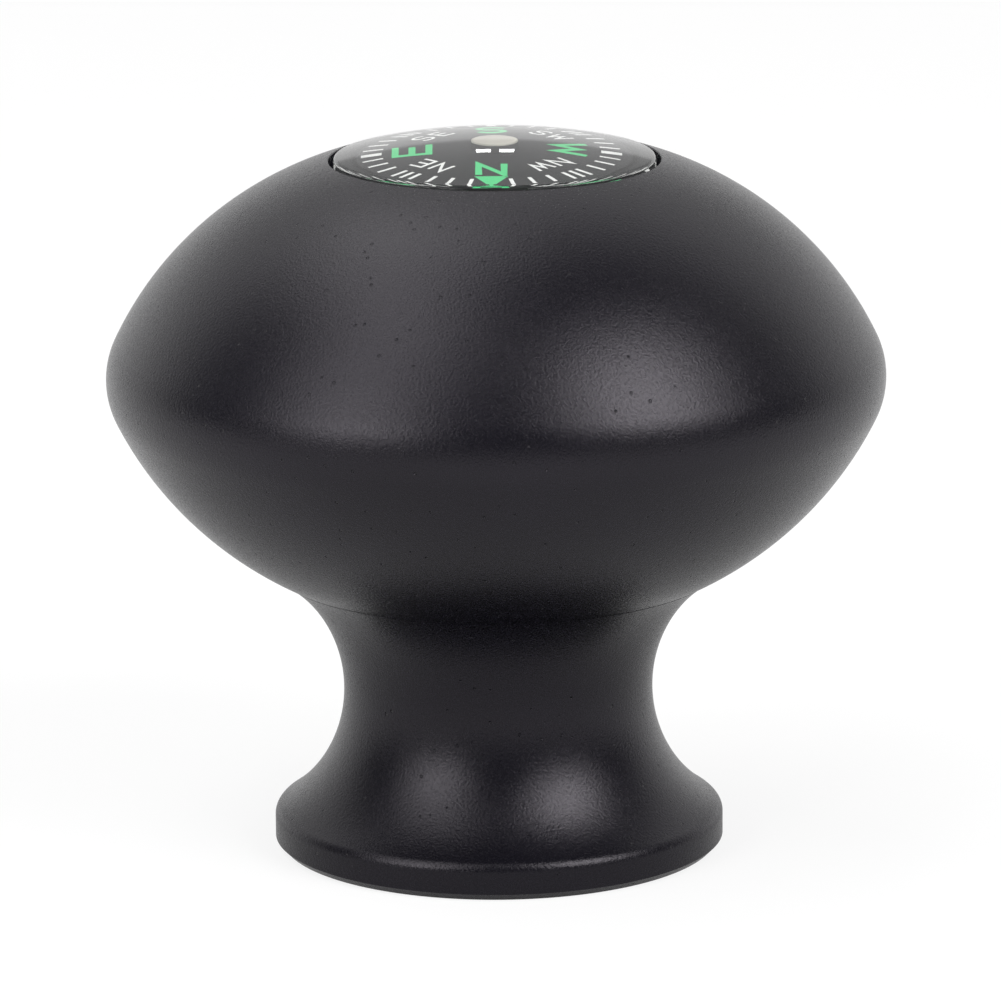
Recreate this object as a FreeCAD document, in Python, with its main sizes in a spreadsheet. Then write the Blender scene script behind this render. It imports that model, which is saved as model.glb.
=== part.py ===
import FreeCAD, Part
import math
import os
import re

import Sketcher

# Pedestal compass: a turned black head with a small liquid-filled compass capsule in its
# mouth, screwed onto a waisted pedestal that takes an M8 stud from below.
# Millimetres, +Z up, origin in the middle of the foot's underside, north mark towards -Y.

DIMENSIONS = {
    # pedestal
    "foot_radius": 14.555,
    "foot_rim_height": 2.26,
    "foot_round": 0.6,
    "foot_chamfer": 0.45,
    "neck_arc": 9.33,
    "neck_arc_centre": 19.32,
    "waist_height": 10.28,
    "seam_radius": 14.13,
    "seam_height": 18.03,
    "seam_chamfer": 0.04,
    "spigot_radius": 6.0,
    "spigot_length": 7.2,
    "relief_depth": 0.5,
    "vent_radius": 1.0,
    # stud insert and foot gasket
    "stud_radius": 3.4,
    "stud_depth": 14.5,
    "stud_lead_in": 0.4,
    "insert_radius": 5.0,
    "gasket_inner": 9.5,
    "gasket_outer": 12.5,
    "gasket_depth": 0.8,
    # head
    "head_radius": 25.0,
    "equator_height": 30.92,
    "bead_arc": 5.25,
    "bead_angle": 25.72,
    "underside_arc": 23.285,
    "crown_arc": 22.42,
    "crown_arc_centre": 4.28,
    "crown_arc_height": 23.465,
    "mouth_radius": 10.6,
    "mouth_round": 0.08,
    "pocket_floor": 35.5,
    # capsule
    "capsule_radius": 10.3,
    "chamber_radius": 9.1,
    "cushion_inner": 7.0,
    "cushion_height": 0.7,
    "floor_height": 1.8,
    "recess_radius": 6.2,
    "recess_depth": 1.0,
    "bowl_top": 43.9,
    "boss_radius": 2.6,
    "boss_height": 0.8,
    "corner_round": 1.0,
    "edge_break": 0.3,
    "ring_section": 0.5,
    "ring_groove_width": 1.2,
    "ring_height": 40.6,
    "port_radius": 0.6,
    "port_circle": 3.9,
    "plug_radius": 0.8,
    "plug_circle": 7.8,
    "plug_head_radius": 1.2,
    "plug_head_height": 0.5,
    "plug_slot": 0.4,
    "membrane_rim": 4.8,
    "membrane_height": 0.4,
    "seal_height": 0.3,
    # dome lens
    "lens_edge": 0.75,
    "lens_round": 0.25,
    "dome_arc": 41.45,
    "dome_apex": 46.45,
    "dome_wall": 0.8,
    # pivot
    "pin_radius": 0.5,
    "pin_tip_radius": 0.05,
    "pin_tip_length": 1.1,
    "pivot_height": 43.5,
    "bush_radius": 1.3,
    "bush_flange_radius": 2.0,
    "bush_flange_height": 0.5,
    "bush_neck_radius": 0.9,
    "bush_top": 40.1,
    # card assembly
    "card_radius": 8.5,
    "card_height": 42.8,
    "card_wall": 0.5,
    "card_bore_gap": 0.02,
    "hub_radius": 1.25,
    "hub_bore": 0.97,
    "hub_bottom": 42.1,
    "hub_top": 44.85,
    "cap_radius": 1.45,
    "cap_height": 0.4,
    "jewel_radius": 0.85,
    "jewel_bottom": 42.9,
    "jewel_height": 1.45,
    "jewel_cone_height": 0.7,
    "jewel_cone_radius": 0.6,
    "float_radius": 6.4,
    "float_bottom": 40.9,
    "float_round": 0.6,
    "magnet_length": 8.0,
    "magnet_width": 1.5,
    "magnet_height": 1.4,
    "magnet_offset": 3.6,
}

doc = FreeCAD.newDocument("pedestal_compass")
sheet = doc.addObject("Spreadsheet::Sheet", "Spec")
for row, (alias, size) in enumerate(DIMENSIONS.items(), start=1):
    sheet.set("A%d" % row, alias)
    sheet.set("B%d" % row, "%g" % size)
    sheet.setAlias("B%d" % row, alias)
doc.recompute()

Vector = FreeCAD.Vector
sub_parts = []


def bound(text):
    """Turn a formula in the sheet's aliases into an expression that reads the sheet."""
    return re.sub(r"[a-z_]+", lambda word: "Spec." + word[0] if word[0] in DIMENSIONS else word[0], text)


def value(text):
    """The present value of such a formula, for a sketch's starting shape."""
    return float(sheet.evalExpression(bound(text)))


def new_body(node):
    body = doc.addObject("PartDesign::Body", node)
    body.Label = node
    sub_parts.append(body)
    return body


def sketch_on(body, name, role):
    plane = next(item for item in body.Origin.OriginFeatures if item.Role == role)
    sketch = body.newObject("Sketcher::SketchObject", name)
    sketch.AttachmentSupport = [(plane, "")]
    sketch.MapMode = "FlatFace"
    return sketch


def bind_distance(sketch, kind, geometry, vertex, formula):
    """Fix one coordinate of a sketch point to a formula in the sheet."""
    along_x = kind == "DistanceX"
    if abs(value(formula)) < 1e-9:
        axis = -2 if along_x else -1
        sketch.addConstraint(Sketcher.Constraint("PointOnObject", geometry, vertex, axis))
        return
    index = sketch.addConstraint(Sketcher.Constraint(kind, -1, 1, geometry, vertex, value(formula)))
    sketch.setExpression("Constraints[%d]" % index, bound(formula))


def arc_between(start, end, radius, turn):
    """The short arc from start to end; turn is +1 anticlockwise or -1 clockwise."""
    chord = end - start
    offset = math.sqrt(radius ** 2 - (chord.Length / 2) ** 2)
    normal = Vector(-chord.y, chord.x, 0).normalize()
    centre = (start + end) / 2 + normal * offset * turn
    first, last = (start, end) if turn > 0 else (end, start)
    angles = [math.atan2(p.y - centre.y, p.x - centre.x) for p in (first, last)]
    if angles[1] < angles[0]:
        angles[1] += 2 * math.pi
    return Part.ArcOfCircle(Part.Circle(centre, Vector(0, 0, 1), radius), *angles)


def turned(node, outline):
    """Revolve an outline about +Z.

    The outline is a closed list of (radius, height) formulas. A point with a third and a
    fourth item starts an arc to the next point: its turn (+1 or -1) and its radius.
    """
    body = new_body(node)
    sketch = sketch_on(body, node + "_outline", "XZ_Plane")
    points = [Vector(value(point[0]), value(point[1]), 0) for point in outline]
    starts = []
    for index, point in enumerate(outline):
        start, end = points[index], points[(index + 1) % len(points)]
        if len(point) == 2:
            sketch.addGeometry(Part.LineSegment(start, end), False)
            starts.append((1, 2))
        else:
            sketch.addGeometry(arc_between(start, end, value(point[3]), point[2]), False)
            starts.append((1, 2) if point[2] > 0 else (2, 1))
    for index, point in enumerate(outline):
        following = (index + 1) % len(points)
        joint = (index, starts[index][1], following, starts[following][0])
        sketch.addConstraint(Sketcher.Constraint("Coincident", *joint))
        bind_distance(sketch, "DistanceX", index, starts[index][0], point[0])
        bind_distance(sketch, "DistanceY", index, starts[index][0], point[1])
        if len(point) == 4:
            radius = sketch.addConstraint(Sketcher.Constraint("Radius", index, value(point[3])))
            sketch.setExpression("Constraints[%d]" % radius, bound(point[3]))
    revolution = body.newObject("PartDesign::Revolution", node + "_turning")
    revolution.Profile = sketch
    revolution.ReferenceAxis = (sketch, ["V_Axis"])
    revolution.Angle = 360
    body.Tip = revolution
    doc.recompute()
    return body


def drilled(body, name, centre, radius, top):
    """Cut a round hole upwards from the foot plane as far as the height top."""
    sketch = sketch_on(body, name + "_circle", "XY_Plane")
    sketch.addGeometry(Part.Circle(Vector(0, value(centre), 0), Vector(0, 0, 1), value(radius)), False)
    sketch.addConstraint(Sketcher.Constraint("PointOnObject", 0, 3, -2))
    bind_distance(sketch, "DistanceY", 0, 3, centre)
    size = sketch.addConstraint(Sketcher.Constraint("Radius", 0, value(radius)))
    sketch.setExpression("Constraints[%d]" % size, bound(radius))
    return upward_pocket(body, name, sketch, top)


def upward_pocket(body, name, sketch, top):
    before = body.Tip.Shape.Volume
    pocket = body.newObject("PartDesign::Pocket", name)
    pocket.Profile = sketch
    pocket.Reversed = True
    pocket.Length = value(top)
    pocket.setExpression("Length", bound(top))
    body.Tip = pocket
    doc.recompute()
    if not pocket.Shape.Volume < before:
        raise RuntimeError(name + " cut nothing")
    return pocket


# Pedestal: foot rim, one long concave neck, seam face under the head and the spigot that
# screws into the head. The insert's bore runs on into the vent that lets the capsule breathe.
RIM_TOP_RADIUS = "foot_radius - foot_round / 2"
turned("pedestal_stem", [
    ("insert_radius", "0"),
    ("gasket_inner", "0"),
    ("gasket_inner", "gasket_depth"),
    ("gasket_outer", "gasket_depth"),
    ("gasket_outer", "0"),
    ("foot_radius - foot_chamfer", "0"),
    ("foot_radius", "foot_chamfer"),
    ("foot_radius", "foot_rim_height - foot_round * 0.57", 1, "foot_round"),
    (RIM_TOP_RADIUS,
     "waist_height - sqrt(neck_arc ^ 2 - (neck_arc_centre - (" + RIM_TOP_RADIUS + ")) ^ 2)",
     -1, "neck_arc"),
    ("seam_radius - seam_chamfer", "seam_height - seam_chamfer"),
    ("seam_radius - 2 * seam_chamfer", "seam_height"),
    ("spigot_radius - relief_depth", "seam_height"),
    ("spigot_radius - relief_depth", "seam_height + 1"),
    ("spigot_radius", "seam_height + 1 + relief_depth"),
    ("spigot_radius", "seam_height + spigot_length - relief_depth"),
    ("spigot_radius - relief_depth", "seam_height + spigot_length"),
    ("vent_radius", "seam_height + spigot_length"),
    ("vent_radius", "stud_depth + stud_radius - vent_radius"),
    ("stud_radius", "stud_depth"),
    ("insert_radius", "stud_depth"),
])

# Head: flat seam face, convex underside, tight bead at the equator, crown and capsule pocket.
BEAD_CENTRE = "(head_radius - bead_arc)"
BEAD_EDGE = BEAD_CENTRE + " + bead_arc * cos(bead_angle)"
CROWN_AT = "crown_arc_height + sqrt(crown_arc ^ 2 - (%s - crown_arc_centre) ^ 2)"
turned("head_shell", [
    ("spigot_radius", "seam_height"),
    ("seam_radius - 2 * seam_chamfer", "seam_height"),
    ("seam_radius", "seam_height + seam_chamfer", 1, "underside_arc"),
    (BEAD_EDGE, "equator_height - bead_arc * sin(bead_angle)", 1, "bead_arc"),
    (BEAD_EDGE, "equator_height + bead_arc * sin(bead_angle)", 1, "crown_arc"),
    ("mouth_radius + mouth_round", CROWN_AT % "mouth_radius - mouth_round", 1, "mouth_round * 1.2"),
    ("mouth_radius", CROWN_AT % "mouth_radius" + " - mouth_round"),
    ("mouth_radius", "pocket_floor"),
    ("vent_radius", "pocket_floor"),
    ("vent_radius", "seam_height + spigot_length + 0.5"),
    ("spigot_radius", "seam_height + spigot_length + 0.5"),
])

# Brass insert for the stud, with a bonding groove round its outside.
turned("thread_insert", [
    ("stud_radius + stud_lead_in", "0"),
    ("insert_radius", "0"),
    ("insert_radius", "stud_depth * 0.4"),
    ("insert_radius - stud_lead_in", "stud_depth * 0.4 + stud_lead_in"),
    ("insert_radius - stud_lead_in", "stud_depth * 0.6 - stud_lead_in"),
    ("insert_radius", "stud_depth * 0.6"),
    ("insert_radius", "stud_depth"),
    ("stud_radius", "stud_depth"),
    ("stud_radius", "stud_lead_in"),
])

turned("base_gasket", [
    ("gasket_inner", "0"),
    ("gasket_outer", "0"),
    ("gasket_outer", "gasket_depth"),
    ("gasket_inner", "gasket_depth"),
])

# Cushion between the pocket's floor and the capsule; its middle is open to the vent.
CAPSULE_FOOT = "pocket_floor + cushion_height"
turned("cushion_ring", [
    ("cushion_inner", "pocket_floor"),
    ("capsule_radius", "pocket_floor"),
    ("capsule_radius", CAPSULE_FOOT),
    ("cushion_inner", CAPSULE_FOOT),
])

# Capsule bowl: chamber, groove for the ring that centres it, recess for the diaphragm
# below, boss for the pivot bush, four ports and the filling hole.
FLOOR_TOP = CAPSULE_FOOT + " + floor_height"
RECESS_TOP = CAPSULE_FOOT + " + recess_depth"
GROOVE_RADIUS = "mouth_radius - 2 * ring_section"
bowl = turned("capsule_bowl", [
    ("recess_radius", CAPSULE_FOOT),
    ("capsule_radius - edge_break", CAPSULE_FOOT),
    ("capsule_radius", CAPSULE_FOOT + " + edge_break"),
    ("capsule_radius", "ring_height - ring_groove_width / 2"),
    (GROOVE_RADIUS, "ring_height - ring_groove_width / 2"),
    (GROOVE_RADIUS, "ring_height + ring_groove_width / 2"),
    ("capsule_radius", "ring_height + ring_groove_width / 2"),
    ("capsule_radius", "bowl_top"),
    ("chamber_radius", "bowl_top"),
    ("chamber_radius", FLOOR_TOP + " + corner_round", -1, "corner_round"),
    ("chamber_radius - corner_round", FLOOR_TOP),
    ("boss_radius", FLOOR_TOP),
    ("boss_radius", FLOOR_TOP + " + boss_height"),
    ("bush_radius", FLOOR_TOP + " + boss_height"),
    ("bush_radius", RECESS_TOP),
    ("recess_radius", RECESS_TOP),
])
port = drilled(bowl, "port", "port_circle", "port_radius", FLOOR_TOP + " + 0.5")
ports = bowl.newObject("PartDesign::PolarPattern", "ports")
ports.Originals = [port]
ports.Axis = (next(item for item in bowl.Origin.OriginFeatures if item.Role == "Z_Axis"), [""])
ports.Angle = 360
ports.Occurrences = 4
bowl.Tip = ports
doc.recompute()
drilled(bowl, "filling_hole", "plug_circle", "plug_radius", FLOOR_TOP + " + 0.5")
drilled(bowl, "filling_seat", "plug_circle", "plug_head_radius", CAPSULE_FOOT + " + plug_head_height")

# Rubber ring that grips the pocket's wall and holds the capsule in the middle of the mouth.
o_ring = doc.addObject("Part::Torus", "capsule_o_ring")
o_ring.Label = "capsule_o_ring"
o_ring.setExpression("Radius1", bound("mouth_radius - ring_section"))
o_ring.setExpression("Radius2", bound("ring_section"))
o_ring.setExpression("Placement.Base.z", bound("ring_height"))
sub_parts.append(o_ring)

turned("lens_seal_ring", [
    ("chamber_radius", "bowl_top"),
    ("capsule_radius", "bowl_top"),
    ("capsule_radius", "bowl_top + seal_height"),
    ("chamber_radius", "bowl_top + seal_height"),
])

# Dome lens: a flat edge that stands on the seal, under two concentric spheres.
LENS_FOOT = "bowl_top + seal_height"
DOME_AT = "dome_apex - dome_arc + sqrt(dome_arc ^ 2 - (%s) ^ 2)"
INNER_AT = "dome_apex - dome_arc + sqrt((dome_arc - dome_wall) ^ 2 - (%s) ^ 2)"
turned("dome_lens", [
    ("chamber_radius", LENS_FOOT),
    ("capsule_radius", LENS_FOOT),
    ("capsule_radius", LENS_FOOT + " + lens_edge", 1, "lens_round * 1.25"),
    ("capsule_radius - lens_round", DOME_AT % "capsule_radius - lens_round", 1, "dome_arc"),
    ("0", "dome_apex"),
    ("0", "dome_apex - dome_wall", -1, "dome_arc - dome_wall"),
    ("chamber_radius", INNER_AT % "chamber_radius"),
])

# Diaphragm that takes up the liquid's expansion, and the ring that clamps its rim.
turned("expansion_diaphragm", [
    ("0", RECESS_TOP + " - membrane_height - 0.35"),
    ("membrane_rim - 0.6", RECESS_TOP + " - membrane_height - 0.25"),
    ("membrane_rim", RECESS_TOP + " - membrane_height"),
    ("recess_radius", RECESS_TOP + " - membrane_height"),
    ("recess_radius", RECESS_TOP),
    ("membrane_rim", RECESS_TOP),
    ("membrane_rim - 0.6", RECESS_TOP + " - 0.35"),
    ("0", RECESS_TOP + " - 0.45"),
])
turned("diaphragm_ring", [
    ("membrane_rim", CAPSULE_FOOT),
    ("recess_radius", CAPSULE_FOOT),
    ("recess_radius", RECESS_TOP + " - membrane_height"),
    ("membrane_rim", RECESS_TOP + " - membrane_height"),
])

# Slotted plug that closes the filling hole.
shank = doc.addObject("Part::Cylinder", "plug_shank")
shank.setExpression("Radius", bound("plug_radius"))
shank.setExpression("Height", bound("floor_height - 0.2"))
plug_head = doc.addObject("Part::Cylinder", "plug_head")
plug_head.setExpression("Radius", bound("plug_head_radius"))
plug_head.setExpression("Height", bound("plug_head_height"))
slot = doc.addObject("Part::Box", "plug_slot_cutter")
slot.setExpression("Length", bound("2 * plug_head_radius"))
slot.setExpression("Width", bound("plug_slot"))
slot.setExpression("Height", bound("plug_head_height / 2"))
slot.setExpression("Placement.Base.x", bound("-plug_head_radius"))
slot.setExpression("Placement.Base.y", bound("-plug_slot / 2"))
plug_blank = doc.addObject("Part::Fuse", "plug_blank")
plug_blank.Base = shank
plug_blank.Tool = plug_head
plug = doc.addObject("Part::Cut", "fill_plug")
plug.Base = plug_blank
plug.Tool = slot
plug.Label = "fill_plug"
plug.setExpression("Placement.Base.y", bound("plug_circle"))
plug.setExpression("Placement.Base.z", bound(CAPSULE_FOOT))
sub_parts.append(plug)

# Pivot: brass bush in the boss and a steel pin with a conical tip.
BOSS_TOP = FLOOR_TOP + " + boss_height"
turned("pivot_bush", [
    ("0", RECESS_TOP),
    ("bush_radius", RECESS_TOP),
    ("bush_radius", BOSS_TOP),
    ("bush_flange_radius", BOSS_TOP),
    ("bush_flange_radius", BOSS_TOP + " + bush_flange_height"),
    ("bush_neck_radius", BOSS_TOP + " + bush_flange_height"),
    ("bush_neck_radius", "bush_top"),
    ("pin_radius", "bush_top"),
    ("pin_radius", FLOOR_TOP),
    ("0", FLOOR_TOP),
])
turned("pivot_pin", [
    ("0", FLOOR_TOP),
    ("pin_radius", FLOOR_TOP),
    ("pin_radius", "pivot_height - pin_tip_length"),
    ("pin_tip_radius", "pivot_height"),
    ("0", "pivot_height"),
])

# Jewel cup that turns and dips on the tip, the hub that holds it, and the hub's cap.
turned("jewel_cup", [
    ("jewel_cone_radius", "jewel_bottom"),
    ("jewel_radius", "jewel_bottom"),
    ("jewel_radius", "jewel_bottom + jewel_height"),
    ("0", "jewel_bottom + jewel_height"),
    ("0", "jewel_bottom + jewel_cone_height"),
])
CARD_TOP = "card_height + card_wall"
turned("card_hub", [
    ("hub_bore", "hub_bottom"),
    ("hub_radius", "hub_bottom"),
    ("hub_radius", CARD_TOP + " + card_bore_gap"),
    ("cap_radius", CARD_TOP + " + card_bore_gap"),
    ("cap_radius", "hub_top"),
    ("hub_bore", "hub_top"),
])
turned("hub_cap", [
    ("0", "hub_top"),
    ("cap_radius", "hub_top"),
    ("cap_radius", "hub_top + cap_height * 0.5", 1, "cap_height * 0.5"),
    ("cap_radius - cap_height * 0.5", "hub_top + cap_height"),
    ("0", "hub_top + cap_height"),
])

# Compass card, the float under it and the two bar magnets let into the float.
CARD_BORE = "hub_radius + card_bore_gap"
turned("compass_card", [
    (CARD_BORE, "card_height"),
    ("card_radius", "card_height"),
    ("card_radius", CARD_TOP + " - 0.15", 1, "0.15"),
    ("card_radius - 0.15", CARD_TOP),
    (CARD_BORE, CARD_TOP),
])
float_body = turned("card_float", [
    (CARD_BORE, "float_bottom"),
    ("float_radius - float_round", "float_bottom", 1, "float_round"),
    ("float_radius", "float_bottom + float_round"),
    ("float_radius", "card_height"),
    (CARD_BORE, "card_height"),
])
SIDES = {"magnet_left": -1, "magnet_right": 1}
slots = sketch_on(float_body, "magnet_slots_outline", "XY_Plane")
for number, side in enumerate(SIDES.values()):
    middle = "%d * magnet_offset" % side
    near, far = middle + " - magnet_width / 2", middle + " + magnet_width / 2"
    corners = [(near, "-magnet_length / 2"), (far, "-magnet_length / 2"),
               (far, "magnet_length / 2"), (near, "magnet_length / 2")]
    places = [Vector(value(along), value(across), 0) for along, across in corners]
    for index, (along, across) in enumerate(corners):
        slots.addGeometry(Part.LineSegment(places[index], places[(index + 1) % 4]), False)
    for index, (along, across) in enumerate(corners):
        edge, following = 4 * number + index, 4 * number + (index + 1) % 4
        slots.addConstraint(Sketcher.Constraint("Coincident", edge, 2, following, 1))
        bind_distance(slots, "DistanceX", edge, 1, along)
        bind_distance(slots, "DistanceY", edge, 1, across)
upward_pocket(float_body, "magnet_slots", slots, "float_bottom + magnet_height")
for node, side in SIDES.items():
    magnet = doc.addObject("Part::Box", node)
    magnet.Label = node
    magnet.setExpression("Length", bound("magnet_width"))
    magnet.setExpression("Width", bound("magnet_length"))
    magnet.setExpression("Height", bound("magnet_height"))
    magnet.setExpression("Placement.Base.x", bound("%d * magnet_offset - magnet_width / 2" % side))
    magnet.setExpression("Placement.Base.y", bound("-magnet_length / 2"))
    magnet.setExpression("Placement.Base.z", bound("float_bottom"))
    sub_parts.append(magnet)

doc.recompute()
for item in doc.Objects:
    if {"Invalid", "Error"} & set(item.State):
        raise RuntimeError("%s failed: %s" % (item.Name, item.State))

os.makedirs("parts", exist_ok=True)
for sub_part in sub_parts:
    shape = sub_part.Shape
    if shape.isNull() or not shape.isValid() or len(shape.Solids) != 1:
        raise RuntimeError(sub_part.Label + " is not one valid solid")
    shape.exportStep("parts/%s.step" % sub_part.Label)
    print("%-22s %10.2f mm3" % (sub_part.Label, shape.Volume))
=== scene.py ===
import math

import bpy
import numpy as np
from bpy.props import FloatProperty, FloatVectorProperty, IntProperty, PointerProperty
from bpy.types import Operator, Panel, PropertyGroup
from mathutils import Euler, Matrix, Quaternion, Vector


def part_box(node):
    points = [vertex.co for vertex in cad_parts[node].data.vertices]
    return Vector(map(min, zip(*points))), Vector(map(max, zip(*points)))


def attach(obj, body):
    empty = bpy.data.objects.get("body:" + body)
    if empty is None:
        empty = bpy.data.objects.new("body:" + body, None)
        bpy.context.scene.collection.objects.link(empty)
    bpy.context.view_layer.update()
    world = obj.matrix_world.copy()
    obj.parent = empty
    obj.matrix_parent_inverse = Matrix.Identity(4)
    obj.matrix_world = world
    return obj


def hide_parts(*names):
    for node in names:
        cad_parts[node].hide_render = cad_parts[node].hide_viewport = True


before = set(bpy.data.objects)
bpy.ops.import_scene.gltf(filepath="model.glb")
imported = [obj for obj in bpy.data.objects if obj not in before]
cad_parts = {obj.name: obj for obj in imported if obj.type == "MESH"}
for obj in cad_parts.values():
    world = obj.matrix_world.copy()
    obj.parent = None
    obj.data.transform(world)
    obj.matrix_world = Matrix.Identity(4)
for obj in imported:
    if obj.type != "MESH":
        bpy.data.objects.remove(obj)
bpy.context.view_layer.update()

bl_info = {
    "name": "Pedestal compass",
    "version": (1, 0, 0),
    "blender": (4, 5, 0),
    "location": "3D View > Sidebar > Compass",
    "description": "Builds the pedestal compass: turned housing, dome capsule, card and studio",
    "category": "Add Mesh",
}

MM = 0.001

# Ways round an arc in the (radius, height) plane.
ANTICLOCKWISE, CLOCKWISE = 1, -1
# Points nearer to the axis than this are on it.
ON_AXIS = 1e-9


def top_of(node):
    """Highest Z of a CAD node."""
    return float(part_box(node)[1][2])


def foot_of(node):
    """Lowest Z of a CAD node."""
    return float(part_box(node)[0][2])


def radius_of(node):
    """Outer radius of a round CAD node, read from its box."""
    low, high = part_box(node)
    return float(high[0] - low[0]) / 2


# ---------------------------------------------------------------- sizes and colours


class HousingSettings(PropertyGroup):
    """Arcs of the turned housing and the look of its finish."""

    head_radius: FloatProperty(
        name="Head radius", description="Widest radius of the head", default=25 * MM, unit="LENGTH")
    equator: FloatProperty(
        name="Equator height", description="Height of the head's widest line", default=30.92 * MM,
        unit="LENGTH")
    bead_arc: FloatProperty(
        name="Bead arc", description="Radius of the tight arc at the equator", default=5.25 * MM,
        unit="LENGTH")
    bead_angle: FloatProperty(
        name="Bead angle", description="Half the turn of the equator's arc", default=math.radians(25.72),
        subtype="ANGLE")
    underside_arc: FloatProperty(
        name="Underside arc", description="Radius of the head's lower arc", default=23.285 * MM,
        unit="LENGTH")
    crown_arc: FloatProperty(
        name="Crown arc", description="Radius of the head's upper arc", default=22.42 * MM,
        unit="LENGTH")
    crown_axis: FloatProperty(
        name="Crown arc axis", description="Distance of the upper arc's centre from the axis",
        default=4.28 * MM, unit="LENGTH")
    crown_centre: FloatProperty(
        name="Crown arc height", description="Height of the upper arc's centre", default=23.465 * MM,
        unit="LENGTH")
    mouth_radius: FloatProperty(
        name="Mouth radius", description="Radius of the pocket that holds the capsule",
        default=10.6 * MM, unit="LENGTH")
    mouth_round: FloatProperty(
        name="Mouth round", description="Round on the mouth's edge", default=0.08 * MM, unit="LENGTH")
    seam_radius: FloatProperty(
        name="Seam radius", description="Radius where the pedestal meets the head",
        default=14.13 * MM, unit="LENGTH")
    seam_break: FloatProperty(
        name="Seam break", description="Broken edge on both sides of the seam", default=0.015 * MM,
        unit="LENGTH")
    neck_arc: FloatProperty(
        name="Neck arc", description="Radius of the pedestal's concave arc", default=9.33 * MM,
        unit="LENGTH")
    neck_axis: FloatProperty(
        name="Neck arc axis", description="Distance of the concave arc's centre from the axis",
        default=19.32 * MM, unit="LENGTH")
    waist: FloatProperty(
        name="Waist height", description="Height of the narrowest line", default=10.28 * MM,
        unit="LENGTH")
    foot_rim: FloatProperty(
        name="Foot rim", description="Height of the foot's upright rim", default=2.26 * MM,
        unit="LENGTH")
    foot_round: FloatProperty(
        name="Foot round", description="Round on top of the foot's rim", default=0.8 * MM,
        unit="LENGTH")
    foot_chamfer: FloatProperty(
        name="Foot chamfer", description="Chamfer under the foot's rim", default=0.45 * MM,
        unit="LENGTH")
    colour: FloatVectorProperty(
        name="Finish colour", description="Black of the anodised finish", subtype="COLOR",
        size=3, default=(0.0042, 0.0039, 0.0060))
    roughness: FloatProperty(
        name="Finish roughness", description="Blasted, then anodised: a soft sheen", default=0.265,
        min=0, max=1)
    grain: FloatProperty(
        name="Grain size", description="Size of the blasted grain", default=0.16 * MM, unit="LENGTH")
    grain_depth: FloatProperty(
        name="Grain depth", description="Depth of the blasted grain", default=0.031 * MM, unit="LENGTH")
    pit_spacing: FloatProperty(
        name="Pit spacing", description="Mean distance of places for a pit", default=0.9 * MM,
        unit="LENGTH")
    segments: IntProperty(
        name="Segments", description="Faces round a turned surface", default=256, min=32)


class CapsuleSettings(PropertyGroup):
    """The compass capsule: dome, bowl and card."""

    dome_arc: FloatProperty(
        name="Dome arc", description="Radius of the dome's outer sphere", default=41.45 * MM,
        unit="LENGTH")
    dome_wall: FloatProperty(
        name="Dome wall", description="Thickness of the dome", default=0.8 * MM, unit="LENGTH")
    edge_height: FloatProperty(
        name="Lens edge", description="Height of the lens's upright edge", default=0.75 * MM,
        unit="LENGTH")
    edge_round: FloatProperty(
        name="Lens round", description="Round on the lens's upper edge", default=0.25 * MM,
        unit="LENGTH")
    chamber_radius: FloatProperty(
        name="Chamber radius", description="Inner radius of bowl and lens", default=9.1 * MM,
        unit="LENGTH")
    lens_index: FloatProperty(
        name="Lens index", description="Refractive index of the lens", default=1.49)
    liquid_index: FloatProperty(
        name="Liquid index", description="Refractive index of the damping liquid", default=1.43)
    cap_colour: FloatVectorProperty(
        name="Cap colour", description="Pale cap on the card's hub", subtype="COLOR", size=3,
        default=(0.50, 0.47, 0.41))
    card_bore: FloatProperty(
        name="Card bore", description="Radius of the card's hole around its hub",
        default=1.27 * MM, unit="LENGTH")
    card_colour: FloatVectorProperty(
        name="Card colour", description="Black of the card", subtype="COLOR", size=3,
        default=(0.010, 0.010, 0.011))


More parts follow.
